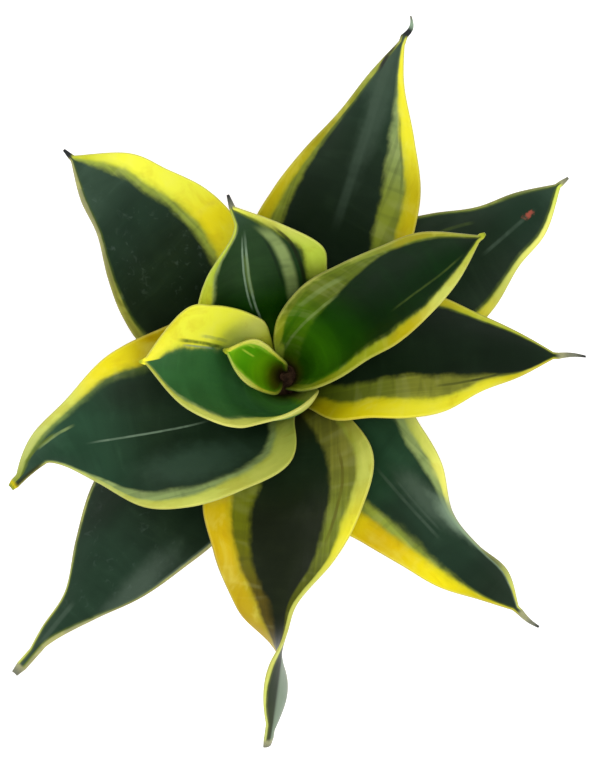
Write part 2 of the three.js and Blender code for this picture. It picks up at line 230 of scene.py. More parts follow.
LOOKS = {}
LOOKS["leaf_heart"] = dict(
    slot="young_leaf",
    yellow=([0.5, 0.6, 0.7, 0.9, 1.2, 1.8, 2.6, 1.8, 0.6],
            [0.6, 0.7, 0.8, 0.9, 1.1, 1.5, 2, 2.6, 1.5]),
    grey=([0.6, 0.6, 0.8, 1, 0.6], [0.6, 0.6, 0.8, 1.2, 0.8]),
    # brown at the very base, partly painted shade; the bright lime green above it is partly painted
    # light, the glow of light through the young leaf
    centre="umber khaki lime_flesh leaf_green lime_flesh",
    gold=("umber citron lemon primrose pea", "citron citron lemon primrose lemon"),
    band=("khaki lime_flesh pea pea leaf_green", "khaki lime_flesh pea pea pea"),
    streaks=[
        (39, 51, [-1.4, -1.8, -2.4], 0.5, 0.6, "lime"),
        (43, 56, [-4.4, -4.6, -4], 0.5, 0.4, "lime"),
    ],
    point="citron olive",
    # a long brown base, partly painted shade deep in the funnel
    brown=0.36,
    mottle=0.3,
)
LOOKS["leaf_northeast_inner"] = dict(
    slot="inner_leaf",
    yellow=([2, 3, 3.2, 3.4, 2.6, 2, 2.4, 2.4, 0.4], [3, 3.6, 4.2, 3.6, 3.8, 4.2, 3.4, 2.8, 0.5]),
    grey=([4, 6, 7.5, 9.5, 9.5, 5.5, 1, 0.8, 0.3], [2, 2.5, 2, 1.2, 1, 1, 0.6, 0.4, 0.2]),
    # the bright green near the base is partly painted light in the funnel
    centre="khaki grass grass ivy jet jet jet ink",
    gold=("lime lime citron moss moss olive mustard olive",
          "olive citron citron citron gold straw citron"),
    band=("khaki meadow meadow moss moss moss bronze", "khaki meadow meadow moss moss fern fern"),
    streaks=[
        (14, 62, [6.8, 8.4, 9.4, 10, 10.2], 0.8, 0.5, "celery"),
        (20, 48, [9.6, 11.6, 13.4, 15.2], 1.1, 0.6, "grass"),
        (46, 70, [16.5, 15.6, 14.4], 1.5, 0.4, "celery"),
        (72, 108, [-4.2, -3.4, -2.8, -1.4], 0.5, 0.6, "fern"),
    ],
    marks=[(94, 13.4, 6, 2.2, 0.7, "mustard")],
    point="citron olive",
    mottle=0.5,
)
LOOKS["leaf_west_inner"] = dict(
    slot="inner_leaf",
    yellow=([4, 5, 6, 6, 5, 4.8, 4.4, 2.4, 0.5], [8, 10, 12, 13.4, 13.8, 14.4, 15, 13.6, 3]),
    grey=([1.5, 1.5, 1.5, 1.5, 1, 1, 1.4, 1.4, 0.5], [2, 2, 1.6, 1.2, 1, 0.8, 0.8, 0.6, 0.3]),
    # brighter green towards the base, partly painted light against the shade inside the cup; the
    # brightest yellows near the base are painted light too
    centre="meadow apple emerald jade jade jade jade",
    gold=("olive straw primrose primrose primrose straw citron",
          "lemon lemon primrose lemon lemon butter"),
    band=("pea pea celery celery sage", "pea celery celery sage sage"),
    streaks=[
        (52, 74, [-8.4, -7.7, -6.9, -6.2], 0.45, 0.8, "silver"),
        (44, 78, [-9.8, -9.2, -8.3, -7.4], 0.8, 0.8, "clover"),
        (44, 66, [-12.2, -11.6, -10.6], 0.8, 0.5, "celery"),
    ],
    point="butter citron",
    mottle=0.4,
)
LOOKS["leaf_northwest_inner"] = dict(
    slot="inner_leaf",
    yellow=([4, 5, 6, 7, 7.5, 7, 3.4, 0.8, 0.4], [4, 5, 6, 6.5, 6.8, 6.8, 7.2, 4.5, 1]),
    grey=([1.5, 1.5, 1.5, 1.5, 1.5, 1.4, 1.4, 0.5, 0.2], [1.5, 1.5, 1.5, 1.5, 1, 0.8, 1, 1.5, 0.5]),
    # brighter green towards the base, partly painted light in the funnel; the dark bronze partway
    # along the right yellow margin is painted shade
    centre="meadow grass ivy thicket thicket slate",
    gold=("lemon lemon lemon lime citron", "olive fern bronze bronze lime straw lemon"),
    band=("sage sage celery celery moss", "moss moss moss olive moss"),
    streaks=[
        (36, 77, [-9.2, -10.4, -11, -10, -5.6], 3, 0.9, "celery"),
        (40, 77, [-12.6, -15, -15.4, -14, -9.4], 1, 0.85, "earth"),
        (44, 72, [-7.4, -7.6, -7.4, -6], 0.7, 0.6, "ink"),
        (14, 76, [2.4, 3.2, 3.5, 2.8, 0.8, -1.6], 0.6, 0.75, "silver"),
        (36, 74, [5, 4.8, 3.8, 2, -0.4], 0.5, 0.7, "silver"),
        (44, 66, [3.4, 3, 2, 0.8], 1.2, 0.45, "sage"),
    ],
    point="ash charcoal",
    mottle=0.5,
)
LOOKS["leaf_west"] = dict(
    slot="leaf",
    yellow=([3, 7, 9.6, 6.4, 4.2, 2.6, 1.6, 0.5, 0.4], [5, 6.5, 8, 9, 9.4, 6.6, 3.2, 2.6, 1.6]),
    grey=([2, 3, 3, 2.8, 3.8, 3.2, 0.8, 0.3, 0.2], [2, 2.5, 3, 3.5, 3.4, 2.4, 1.4, 1, 0.6]),
    centre="bottle forest forest pine slate",
    gold=("olive straw straw hay dull", "sun sun amber ochre ochre sun straw hay olive"),
    band=("olive celery celery celery fern", "bronze bronze fern sage moss"),
    streaks=[
        (36, 82, [2.2, 3, 3.3, 2.9, 1.6], 0.5, 0.48, "silver"),
        (82, 97, [-5.6, -4.8, -3.6], 0.7, 0.6, "celery"),
        (88, 104, [-5.6, -4.2, -2.2], 0.7, 0.6, "moss"),
        (96, 115, [1.3, 1, 0.8], 0.9, 0.85, "peat"),
    ],
    # the pale slate patch is painted sheen, the dark bottle patch across from it painted shade
    patches=[
        (48, 17, 26, 11, 0.85, "slate"),
        (60, -11, 22, 9, 0.6, "bottle"),
        (108, 3, 12, 3, 0.5, "charcoal"),
    ],
    point="gold olive",
    mottle=0.55,
)
LOOKS["leaf_east"] = dict(
    slot="leaf",
    yellow=([4, 4.5, 5, 5, 4.8, 3.6, 2, 0.8, 0.3], [4, 5.5, 7.4, 7.4, 7.2, 5, 3.6, 1.4, 0.3]),
    grey=([1, 1, 1, 1, 0.8, 0.8, 0.5, 0.3, 0.1], [4, 6, 6.4, 6.8, 7.8, 7.2, 2.4, 0.3, 0.1]),
    centre="bottle bottle ink ink forest",
    gold=("gold gold gold citron dull", "moss gold sun butter butter gold citron"),
    band=("moss moss moss moss bronze", "moss moss olive reed reed olive bronze"),
    streaks=[(58, 86, [-8.4, -8, -6.8, -4.6], 0.6, 0.75, "bottle")],
    point="tan ash charcoal",
    mottle=0.4,
)
LOOKS["leaf_south"] = dict(
    slot="leaf",
    yellow=([3, 5, 7, 6, 2.6, 1.4, 1.6, 0.8, 0.7], [6, 7.5, 9.5, 10.4, 8.2, 7.8, 4.4, 1, 0.8]),
    grey=([8, 9, 11, 7, 4.8, 1.5, 0.6, 0.4, 0.2], [6, 8, 9, 7, 5.2, 4, 2.6, 0.5, 0.3]),
    centre="peat forest earth earth earth peat",
    gold=("citron reed straw butter straw straw straw hay",
          "straw straw gold amber ochre ochre ochre mustard"),
    band=("bronze dull olive bronze bronze bronze", "olive olive khaki umber umber umber"),
    streaks=[(24, 60, [17, 19, 17, 13], 0.9, 0.5, "umber")],
    point="tan ash",
    # the underside is painted pale on the right and kept dark on the left: painted sheen and
    # painted shade where the tip rolls over
    pale_and_sheen_under=(0.1, 0.85),
    mottle=0.45,
)
LOOKS["leaf_north"] = dict(
    slot="leaf",
    yellow=([5, 5.2, 5.4, 5.5, 4.2, 3, 1.6, 1.6, 0.5], [6, 6.2, 6.4, 6.4, 6, 5.6, 5, 2.2, 0.5]),
    grey=([4.5, 5, 5, 5, 3.2, 1.6, 0.8, 0.4, 0.2], [7, 7.5, 8, 8.2, 8.6, 7.6, 3, 0.6, 0.2]),
    centre="forest bottle bottle forest fir slate",
    gold=("gold gold gold gold mustard olive dull", "gold gold gold gold gold butter butter straw"),
    band=("olive olive olive fern fern", "moss moss olive celery rush"),
    # the pale streak along the midrib and the two pale patches near the tip are painted sheen
    streaks=[
        (50, 128, [0.5, 1.5, 2.2, 2], 2.2, 0.25, "mist"),
        (70, 98, [-16.6, -14, -9.8, -6.4], 0.7, 0.5, "fern"),
        (106, 127, [5, 3.4, 1.6, 0.4], 1, 0.95, "charcoal"),
    ],
    patches=[(104, 0.5, 44, 6, 0.42, "mist"), (112, 6, 20, 5, 0.3, "mist")],
    point="charcoal charcoal silver ash",
    mottle=0.5,
)
LOOKS["leaf_northwest"] = dict(
    slot="leaf",
    yellow=([2.6, 2.8, 3, 3, 2.5, 2, 1.2, 1.6, 0.4],
            [9, 10, 11.4, 12.2, 11.6, 10.2, 8.2, 6.4, 0.6]),
    grey=([1, 1, 1, 1, 1, 0.8, 0.6, 0.5, 0.3], [2.4, 2.4, 2.4, 2.4, 3, 3.2, 3.2, 3, 0.4]),
    centre="ink ink bottle forest fir slate slate",
    gold=("dull dull dull tan tan", "amber sun butter sun lemon lemon citron"),
    band=("fern fern", "reed reed rush rush rush"),
    streaks=[],
    point="charcoal charcoal",
    dust=0.36,
    mottle=0.6,
)
LOOKS["leaf_southeast"] = dict(
    slot="leaf",
    yellow=([3, 3.4, 3.6, 4, 3.2, 1, 0.6, 1.6, 0.4], [8, 9, 10, 10.6, 8.6, 6.8, 5.2, 1.4, 0.4]),
    grey=([4, 4, 4, 3.8, 3, 0.8, 0.3, 0.3, 0.2], [2.5, 3, 4, 4.6, 4, 2.8, 1.2, 0.4, 0.2]),
    centre="pine pine pine fir fir forest forest",
    gold=("straw straw hay straw primrose silver drab straw tan",
          "sun sun sun amber sun gold mustard"),
    band=("celery celery celery silver drab", "reed reed rush olive bronze"),
    # the two pale streaks near the midrib and the pale patch on the left are painted sheen
    streaks=[
        (36, 72, [1.8, 1, 0.2], 0.8, 0.45, "mist"),
        (44, 70, [4, 3, 2.4], 0.6, 0.35, "mist"),
    ],
    patches=[(58, 6.5, 20, 6, 0.7, "mist"), (60, -5, 18, 4, 0.5, "forest")],
    marks=[(70, 9.2, 16, 4.4, 0.7, "silver"), (58, 17, 10, 4, 0.5, "primrose")],
    point="tan tan ash charcoal",
    mottle=0.45,
)
LOOKS["leaf_southwest"] = dict(
    slot="leaf",
    yellow=([1.2, 1.2, 1.2, 1, 0.8, 0.6, 0.8, 1.4, 0.9],
            [0.8, 0.8, 0.8, 0.8, 0.7, 0.7, 0.4, 0.4, 0.6]),
    grey=([0.8, 0.6, 0.5, 0.5, 0.4], [0.4, 0.4, 0.3, 0.3, 0.3]),
    centre="fir forest forest fir fir slate",
    gold=("tan hay tan drab tan tan", "drab drab drab drab hay straw"),
    band=("mist mist mist fern olive", "fern fern fern fern olive"),
    # the pale streak near the tip and the pale patch on the left are painted sheen
    streaks=[(96, 118, [-1, -0.6, -0.2], 1.2, 0.4, "mist")],
    patches=[
        (80, 12, 26, 7, 0.6, "mist"),
        (40, -15, 16, 9, 0.5, "pine"),
        (66, -15, 16, 9, 0.6, "bottle"),
    ],
    point="tan ash",
    dust=0.2,
    mottle=0.5,
)
LOOKS["leaf_northeast"] = dict(
    slot="leaf",
    yellow=([1, 1, 1, 1, 0.8, 0.6, 0.7, 1, 0.4], [4, 4.5, 5, 5, 4.4, 3.2, 2, 1.8, 1.2]),
    grey=([0.6, 0.5, 0.4, 0.4, 0.3], [1.2, 1.2, 1.2, 1, 0.8]),
    centre="bottle bottle bottle forest forest fir slate",
    gold=("dull dull fern fern drab", "butter butter butter sun straw primrose lime"),
    band=("fern fern", "moss moss moss fern fern"),
    streaks=[
        (60, 78, [12.6, 10.4, 7], 0.9, 0.5, "fern"),
        (72, 97, [-3.4, -2.4, -1.4], 0.9, 0.45, "mist"),
    ],
    scar=(93.5, -1.5, 1.7),
    point="tan ash",
    mottle=0.5,
)

# ---- Curves and leaf meshes -----------------------------------------------------------------


def bezier(points, t):
    """Points on the Bezier curve of these control points."""
    level = [np.array(p, float) + np.zeros((len(t), 3)) for p in points]
    while len(level) > 1:
        level = [a + (b - a) * t[:, None] for a, b in zip(level, level[1:])]
    return level[0]


def along(values, s):
    """Values at evenly spaced places from 0 to 1, joined by a smooth curve."""
    s = np.clip(np.asarray(s, float), 0, 1)
    last = len(values) - 1
    if last == 0:
        return np.full(s.shape, float(values[0]))
    v = [2 * values[0] - values[1], *values, 2 * values[-1] - values[-2]]
    v = np.array(v, float)
    x = s * last
    i = np.minimum(x.astype(int), last - 1)
    f = x - i
    a, b, c, d = v[i], v[i + 1], v[i + 2], v[i + 3]
    return b + 0.5 * f * (c - a + f * (2 * a - 5 * b + 4 * c - d + f * (3 * (b - c) + d - a)))


MIDRIB_SAMPLES = 1200
BLADE_ROWS, AWN_ROWS, ACROSS = 120, 14, 36  # a leaf's grid: along the blade, the dry point, across
# A leaf's place in its UV square: the upper face in the lower half, the underside above it.
UV_EDGE, UV_LONG, UV_WIDE, UV_UNDER = 0.02, 0.96, 0.23, 0.5
# Each leaf, and each of its faces, takes its noise from a layer of its own.
LEAF_LAYER, FIRST_LAYER, UNDER_LAYER = 7, 0.45, 3


def leaf_grid(form):
    """The leaf's upper face, the face under it, and what each point is, as grids."""
    control = form["midrib"]
    sample = np.linspace(0, 1, MIDRIB_SAMPLES + 1)
    line = bezier(control, sample)
    reach = np.concatenate([[0], np.cumsum(np.linalg.norm(np.diff(line, axis=0), axis=1))])
    length = reach[-1]
    blade_end = 1 - form["awn"] / length
    s = np.concatenate([
        np.linspace(0, blade_end, BLADE_ROWS + 1),
        np.linspace(blade_end, 1, AWN_ROWS + 1)[1:],
    ])
    t = np.interp(s * length, reach, sample)
    centre = bezier(control, t)
    step = 1e-3
    tangent = bezier(control, np.minimum(1, t + step)) - bezier(control, np.maximum(0, t - step))
    tangent /= np.linalg.norm(tangent, axis=1)[:, None]
    heading = np.radians(along(form["heading"], s))
    left = np.stack([-np.sin(heading), np.cos(heading), np.zeros_like(heading)], 1)
    left -= tangent * (left * tangent).sum(1)[:, None]
    left /= np.linalg.norm(left, axis=1)[:, None]
    roll = np.radians(along(form.get("roll", [0]), s))[:, None]
    left = left * np.cos(roll) + np.cross(tangent, left) * np.sin(roll)
    up = np.cross(tangent, left)

    blade = np.minimum(1, s / blade_end)
    in_awn = np.clip((s - blade_end) * length / form["awn"], 0, 1)
    wide, narrow = form.get("awn_half", AWN_HALF_WIDTH)
    least = wide + (narrow - wide) * in_awn
    centre = centre + left * (form.get("bow", 0) * np.sin(math.pi * in_awn))[:, None]
    v = np.sin(np.linspace(-1, 1, ACROSS + 1) * math.pi / 2)
    rights = v < 0
    half = np.where(
        rights[None, :],
        np.maximum(least, along([*form["right"], 0], blade))[:, None],
        np.maximum(least, along([*form["left"], 0], blade))[:, None],
    )
    cup = np.radians(np.where(
        rights[None, :], along(form["cup_right"], s)[:, None], along(form["cup_left"], s)[:, None]
    ))
    side = np.where(rights, -1.0, 1.0)[None, :]
    radius = half / cup
    turn = np.abs(v)[None, :] * cup
    top = (
        centre[:, None, :]
        + left[:, None, :] * (side * radius * np.sin(turn))[..., None]
        + up[:, None, :] * (radius * (1 - np.cos(turn)))[..., None]
    )
    outward = left[:, None, :] * (side * np.sin(turn))[..., None]
    normal = up[:, None, :] * np.cos(turn)[..., None] - outward
    thick = along(THICKNESS, s)[:, None] * (1 - (1 - MARGIN_THICKNESS) * v[None, :] ** 2)
    thick = np.maximum(THINNEST, thick) * (1 - (1 - AWN_THINNING) * in_awn)[:, None]
    edge = half * (1 - np.abs(v))[None, :]
    # the margin and the dry point are rounded off
    rounding = np.clip(edge / (0.5 * thick), 0, 1)
    share = np.sqrt(np.maximum(0, 1 - (1 - rounding) ** 2))
    upper = top - normal * (0.5 * thick * (1 - share))[..., None]
    under = top - normal * (0.5 * thick * (1 + share))[..., None]
    return dict(
        upper=upper, under=under, s=s, v=v, half=half, edge=edge, blade=blade,
        length=length, past=(s - blade_end) * length,
    )


def new_object(name, points, faces, material):
    mesh = bpy.data.meshes.new(name)
    mesh.from_pydata(points, [], faces)
    mesh.polygons.foreach_set("use_smooth", [True] * len(faces))
    mesh.materials.append(material)
    obj = bpy.data.objects.new(name, mesh)
    bpy.context.scene.collection.objects.link(obj)
    return obj


def store(obj, name, values, kind="FLOAT", field="value"):
    """Keeps one value per point with the mesh, for its material to read."""
    layer = obj.data.attributes.new(name, kind, "POINT")
    layer.data.foreach_set(field, np.asarray(values, np.float32).reshape(-1))


def leaf_object(name, form, look, material, seed):
    """The leaf's mesh, with what its material needs stored at each point."""
    g = leaf_grid(form)
    rows, cols = g["upper"].shape[:2]
    inner = cols - 2  # the margins are shared by both faces
    upper = g["upper"].reshape(-1, 3)
    under = g["under"][:, 1:-1].reshape(-1, 3)
    points = np.concatenate([upper, under]) * MM

    def index(i, j, beneath):
        if beneath and 0 < j < cols - 1:
            return rows * cols + i * inner + j - 1
        return i * cols + j

    # each face's corners: row, column, and 1 if it lies in the face underneath
    rings = []
    for i in range(rows - 1):
        for j in range(cols - 1):
            rings.append([(i, j, 0), (i + 1, j, 0), (i + 1, j + 1, 0), (i, j + 1, 0)])
            rings.append([(i, j, 1), (i, j + 1, 1), (i + 1, j + 1, 1), (i + 1, j, 1)])
    ends = len(rings)  # from here on, the faces that close the leaf's two ends
    for i, step in ((0, 1), (rows - 1, -1)):
        for j in range(cols - 1):
            ring = [(i, j, 0), (i, j + 1, 0), (i, j + 1, 1), (i, j, 1)]
            rings.append(list({index(*corner): corner for corner in ring}.values())[::step])
    faces = [tuple(index(*corner) for corner in ring) for ring in rings]
    obj = new_object(name, points.tolist(), faces, material)
    u_of = (g["s"] * UV_LONG + UV_EDGE).tolist()
    v_of = ((g["v"] + 1) * UV_WIDE + UV_EDGE).tolist()
    flat = []
    for number, ring in enumerate(rings):
        for i, j, beneath in ring:
            flat += [u_of[i], v_of[j] + UV_UNDER * (beneath if number < ends else 0)]
    obj.data.uv_layers.new(name="OFBake").data.foreach_set("uv", flat)

    rights = (g["v"] < 0)[None, :]

    def both(key):
        on_left, on_right = (along(widths, g["blade"])[:, None] for widths in look[key])
        return np.where(rights, on_right, on_left)

    ones = np.ones_like(g["edge"])
    yellow = both("yellow")
    fields = {
        "s": g["s"][:, None] * ones,
        "v": g["v"][None, :] * ones,
        "edge": g["edge"],
        "yellow": yellow - g["edge"],
        "grey": yellow + both("grey") - g["edge"],
        "past": g["past"][:, None] * ones,
    }
    reach = g["s"] * g["length"]
    for number, (start, end, across, *_) in enumerate(look["streaks"]):
        line = along(across, (reach - start) / (end - start))
        fields[f"streak{number}"] = g["v"][None, :] * g["half"] - line[:, None]
    for key, values in fields.items():
        store(obj, key, np.concatenate([values.reshape(-1), values[:, 1:-1].reshape(-1)]))
    store(obj, "under", np.concatenate([np.zeros(rows * cols), np.ones(rows * inner)]))
    place = np.stack([g["s"][:, None] * g["length"] * ones, g["v"][None, :] * g["half"],
                      (LEAF_LAYER * seed + FIRST_LAYER) * ones], -1)
    place_under = place[:, 1:-1].reshape(-1, 3) + [0, 0, UNDER_LAYER]
    place = np.concatenate([place.reshape(-1, 3), place_under])
    store(obj, "place", place, "FLOAT_VECTOR", "vector")
    obj.data.validate()
    return obj


# ---- Materials ------------------------------------------------------------------------------


def rgb(tone):
    """The tone of this name as linear RGBA."""
    out = []
    for c in TONES[tone]:
        c = c / 255
        out.append(c / 12.92 if c <= 0.04045 else ((c + 0.055) / 1.055) ** 2.4)
    return (*out, 1.0)


class Graph:
    """Short names for building one material's nodes."""

    def __init__(self, name):
        self.material = bpy.data.materials.new(name)
        self.material.use_nodes = True
        self.tree = self.material.node_tree
        self.tree.nodes.clear()
        out = self.node("OutputMaterial")
        self.shader = self.node("BsdfPrincipled")
        self.tree.links.new(self.shader.outputs[0], out.inputs[0])

    def put(self, socket, value):
        """Links an output, or sets a number, a vector or a tone. None leaves it as it is."""
        if isinstance(value, bpy.types.NodeSocket):
            self.tree.links.new(value, socket)
        elif value is not None:
            socket.default_value = rgb(value) if isinstance(value, str) else value

    def node(self, kind, *values, **settings):
        """A new node with these settings and, in its first sockets, these values."""
        node = self.tree.nodes.new("ShaderNode" + kind)
        for key, value in settings.items():
            setattr(node, key, value)
        for socket, value in zip(node.inputs, values):
            self.put(socket, value)
        return node

    def attr(self, name, output="Fac"):
        return self.node("Attribute", attribute_name=name).outputs[output]

    def math(self, operation, a, b=None):
        return self.node("Math", a, b, operation=operation).outputs[0]

    def add(self, a, b):
        return self.math("ADD", a, b)

    def minus(self, a, b):
        return self.math("SUBTRACT", a, b)

    def times(self, a, b):
        return self.math("MULTIPLY", a, b)

    def vector(self, operation, a, b=None, output=0):
        return self.node("VectorMath", a, b, operation=operation).outputs[output]

    def length(self, vector):
        return self.vector("LENGTH", vector, output="Value")

    def first(self, vector):
        """The vector's first number."""
        return self.node("SeparateXYZ", vector).outputs[0]

    def where(self):
        """The place on the object, in metres."""
        return self.node("TexCoord").outputs["Object"]

    def smooth(self, x, *steps):
        """A soft step: where x is low, high, and, if not 0 and 1, the value at each."""
        return self.node("MapRange", x, *steps, interpolation_type="SMOOTHSTEP").outputs[0]

    def noise(self, vector, scale, detail, rough=0.5, distortion=0.0):
        node = self.node("TexNoise", self.vector("MULTIPLY", vector, scale))
        for key, value in (("Scale", 1.0), ("Detail", detail), ("Roughness", rough),
                           ("Distortion", distortion)):
            node.inputs[key].default_value = value
        return node.outputs["Fac"]

    def ramp(self, fac, tones):
        """Tones, named in one string, at evenly spaced places from 0 to 1."""
        tones = tones.split()
        node = self.node("ValToRGB", fac)
        steps = node.color_ramp
        steps.interpolation = "EASE"
        for n, tone in enumerate(tones):
            place = n / (len(tones) - 1)
            step = steps.elements[n] if n < 2 else steps.elements.new(place)
            step.position = place
            step.color = rgb(tone)
        return node.outputs[0]

    def mix(self, fac, a, b, blend="MIX"):
        node = self.node("Mix", fac, data_type="RGBA", blend_type=blend)
        self.put(node.inputs[6], a)
        self.put(node.inputs[7], b)
        return node.outputs[2]

    def tinted(self, colour, factors):
        """The colour with its red, green and blue multiplied."""
        return self.mix(1.0, colour, (*factors, 1), "MULTIPLY")

    def veil(self, colour, tone, strength, x, low, high):
        """The tone over the colour: none of it where x is at low, its full strength at high."""
        return self.mix(self.smooth(x, low, high, 0.0, strength), colour, tone)

    def bump(self, height, strength, distance):
        node = self.node("Bump")
        node.inputs["Strength"].default_value = strength
        node.inputs["Distance"].default_value = distance
        self.put(node.inputs["Height"], height)
        return node.outputs[0]

    def finish(self, colour, rough, normal, specular):
        for key, value in (("Base Color", colour), ("Roughness", rough), ("Normal", normal),
                           ("Specular IOR Level", specular)):
            self.put(self.shader.inputs[key], value)
        return self.material


# Lengths are millimetres. A noise's scale is in cycles per millimetre along and across the leaf.

YELLOW_WANDER, YELLOW_LOBES = 1.6, 2.4  # how far the yellow's border strays
GREY_WANDER, GREY_LINES = 3.0, 0.9  # the same for the grey-green band's border
BROAD = (0.4, 6.0)  # yellow margins narrower than the first stray least, wider than the second most
BRIGHTER, DARKER = (1.9, 1.7, 1.8), (0.62, 0.68, 0.66)  # cross bands of the centre
LIGHT_CLOUD, DARK_CLOUD = (1.2, 1.16, 1.18), (0.84, 0.86, 0.85)
DEEP_GOLD, PALE_GRAIN = (0.84, 0.76, 0.5), (1.6, 1.6, 1.6)
BROWN_BASE = 0.10  # share of the leaf that turns brown and darker towards the rhizome, partly painted shade
PALE_UNDER = (0.25, 0.25)  # how pale the underside is, left and right
STREAK_FADE = 0.2  # share of a streak's length over which each end fades
LEAF_BUMP = (0.16, 0.0004)  # strength, depth in metres
LEAF_SPECULAR = 0.16


def leaf_material(name, look):
    g = Graph(name)
    place = g.attr("place", "Vector")
    s, v = g.attr("s"), g.attr("v")
    edge, under = g.attr("edge"), g.attr("under")
    is_left = g.smooth(v, -0.02, 0.02)

    def cloud(*noise):
        """Noise from -0.5 to 0.5."""
        return g.minus(g.noise(place, *noise), 0.5)

    def sides(key):
        left, right = look[key]
        return g.mix(is_left, g.ramp(at, right), g.ramp(at, left))

    def away_from(ahead, across, scale):
        offset = g.vector("SUBTRACT", place, (ahead, across, 0))
        return g.length(g.vector("MULTIPLY", offset, scale))

    def patched(colour, patches):
        for ahead, across, long, wide, strength, tone in patches:
            away = g.add(away_from(ahead, across, (1 / long, 1 / wide, 0)), g.times(lobes, 0.5))
            colour = g.veil(colour, tone, strength, away, 1.0, 0.2)
        return colour

    # the borders between the bands wander in soft lobes, a narrow margin's less than a wide one's
    wander = cloud((0.05, 0.05, 1), 1)
    lobes = cloud((0.20, 0.22, 1), 3, 0.55)
    lines = g.noise(place, (0.02, 0.42, 1), 2, 0.5, 0.5)
    broad = g.smooth(g.add(g.attr("yellow"), edge), *BROAD, 0.10, 1.0)
    shift = g.add(g.times(wander, YELLOW_WANDER), g.times(lobes, YELLOW_LOBES))
    inside = g.add(g.attr("yellow"), g.times(shift, broad))
    in_yellow = g.smooth(inside, g.times(broad, -1.3), g.add(g.times(broad, 0.8), 0.15))
    shift = g.add(g.times(lobes, GREY_WANDER), g.times(wander, GREY_WANDER))
    shift = g.add(shift, g.times(g.minus(lines, 0.5), GREY_LINES))
    soft = g.times(broad, 1.2)
    in_grey = g.smooth(g.add(g.attr("grey"), g.times(shift, broad)),
                       g.minus(-0.3, soft), g.add(0.3, soft))

    # dark centre: soft cross bands and clouds
    at = g.add(s, g.times(wander, 0.05))
    centre = g.ramp(at, look["centre"])
    bands = g.noise(place, (0.17, 0.045, 1), 3, 0.55, 0.7)
    clouds = g.noise(place, (0.045, 0.07, 1), 2, 0.5)
    depth = look["mottle"]
    centre = g.veil(centre, g.tinted(centre, BRIGHTER), 0.75 * depth, bands, 0.50, 0.76)
    centre = g.veil(centre, g.tinted(centre, DARKER), 0.7 * depth, bands, 0.50, 0.28)
    dark, light = g.tinted(centre, DARK_CLOUD), g.tinted(centre, LIGHT_CLOUD)
    centre = g.veil(dark, light, 1.0, clouds, 0.34, 0.66)

    # grey-green band, streaked lengthwise and barred across
    grey = sides("band")
    grey = g.veil(grey, centre, 0.2625, lines, 0.60, 0.36)
    bars = g.noise(place, (0.26, 0.06, 1), 1, 0.5, 0.6)
    grey = g.veil(grey, "haze", 0.0875, bars, 0.50, 0.72)
    grey = g.veil(grey, centre, 0.2, bars, 0.48, 0.28)

    # yellow margin: greener towards the band, clouded, faintly barred, paler at the very edge
    gold = sides("gold")
    gold = g.veil(gold, "green_gold", 0.225, inside, g.add(g.times(broad, 2.8), 0.15), 0.1)
    blots = g.noise(place, (0.09, 0.15, 1), 3, 0.55, 0.5)
    gold = g.veil(gold, "pale_gold", 0.21, blots, 0.50, 0.72)
    gold = g.veil(gold, g.tinted(gold, DEEP_GOLD), 0.6, blots, 0.50, 0.30)
    gold = g.veil(gold, "gold_bar", 0.07, bars, 0.54, 0.78)
    gold = g.veil(gold, "gold_edge", 0.15, edge, 0.9, 0.2)

    # patches under the yellow: the pale ones are painted sheen
    colour = patched(g.mix(in_grey, centre, grey), look.get("patches", []))
    colour = patched(g.mix(in_yellow, colour, gold), look.get("marks", []))
    distance = g.first(place)
    for number, (start, end, _, width, strength, tone) in enumerate(look["streaks"]):
        off = g.add(g.attr(f"streak{number}"), g.times(lobes, 0.5 * min(1.0, width)))
        mask = g.smooth(g.math("ABSOLUTE", off), width, 0.3 * width)
        fade = STREAK_FADE * (end - start)
        mask = g.times(mask, g.smooth(distance, start, start + fade))
        mask = g.times(mask, g.smooth(distance, end, end - fade))
        mask = g.times(mask, g.smooth(bars, 0.30, 0.60, 0.65, 1.0))
        colour = g.mix(g.times(mask, strength), colour, tone)
    # thin dull line along the very margin
    colour = g.veil(colour, "margin", 0.35, edge, 0.30, 0.05)

    if "dust" in look:
        specks = g.smooth(g.noise(place, (0.42, 0.5, 1), 2, 0.5, 0.4), 0.58, 0.78)
        spread = g.smooth(g.noise(place, (0.06, 0.06, 2), 1), 0.40, 0.6)
        specks = g.times(g.times(specks, spread), g.minus(1.0, in_yellow))
        colour = g.mix(g.times(specks, 0.30 * look["dust"]), colour, "dust")
    if "scar" in look:
        ahead, across, size = look["scar"]
        ragged = g.times(cloud((0.9, 0.9, 1), 2), 3.0)
        away = g.add(away_from(ahead, across, (0.7, 1.2, 0)), ragged)
        colour = g.veil(colour, "scar", 0.85, away, size, 0.3 * size)

    # the face underneath is paler and duller; where one side is made far paler than the other, that
    # is painted sheen
    left_pale, right_pale = look.get("pale_and_sheen_under", PALE_UNDER)
    paler = g.smooth(v, -0.15, 0.15, right_pale, left_pale)
    colour = g.mix(g.times(under, paler), colour, "underside")
    # dry point
    past = g.add(g.attr("past"), g.times(lobes, 2.0))
    dry = g.ramp(g.math("DIVIDE", past, FORM[name]["awn"]), look["point"])
    grain = g.noise(place, (1.6, 2.4, 1), 2)
    dry = g.veil(dry, g.tinted(dry, PALE_GRAIN), 0.4, grain, 0.35, 0.7)
    colour = g.veil(colour, dry, 1.0, past, -1.2, 0.8)
    # brown and darker where the leaf grows out of the rhizome: partly its own colour, partly
    # painted shade
    colour = g.veil(colour, "leaf_base", 1.0, s, look.get("brown", BROWN_BASE), 0.0)

    rough = g.smooth(g.noise(place, (0.10, 0.30, 1), 3), 0.3, 0.7, 0.36, 0.50)
    height = g.add(g.times(g.noise(place, (0.03, 1.3, 1), 3), 0.5),
                   g.times(g.noise(place, (0.5, 0.5, 1), 3), 0.5))
    return g.finish(colour, rough, g.bump(height, *LEAF_BUMP), LEAF_SPECULAR)


# The noises of the pot, soil and rhizome are in cycles per metre.


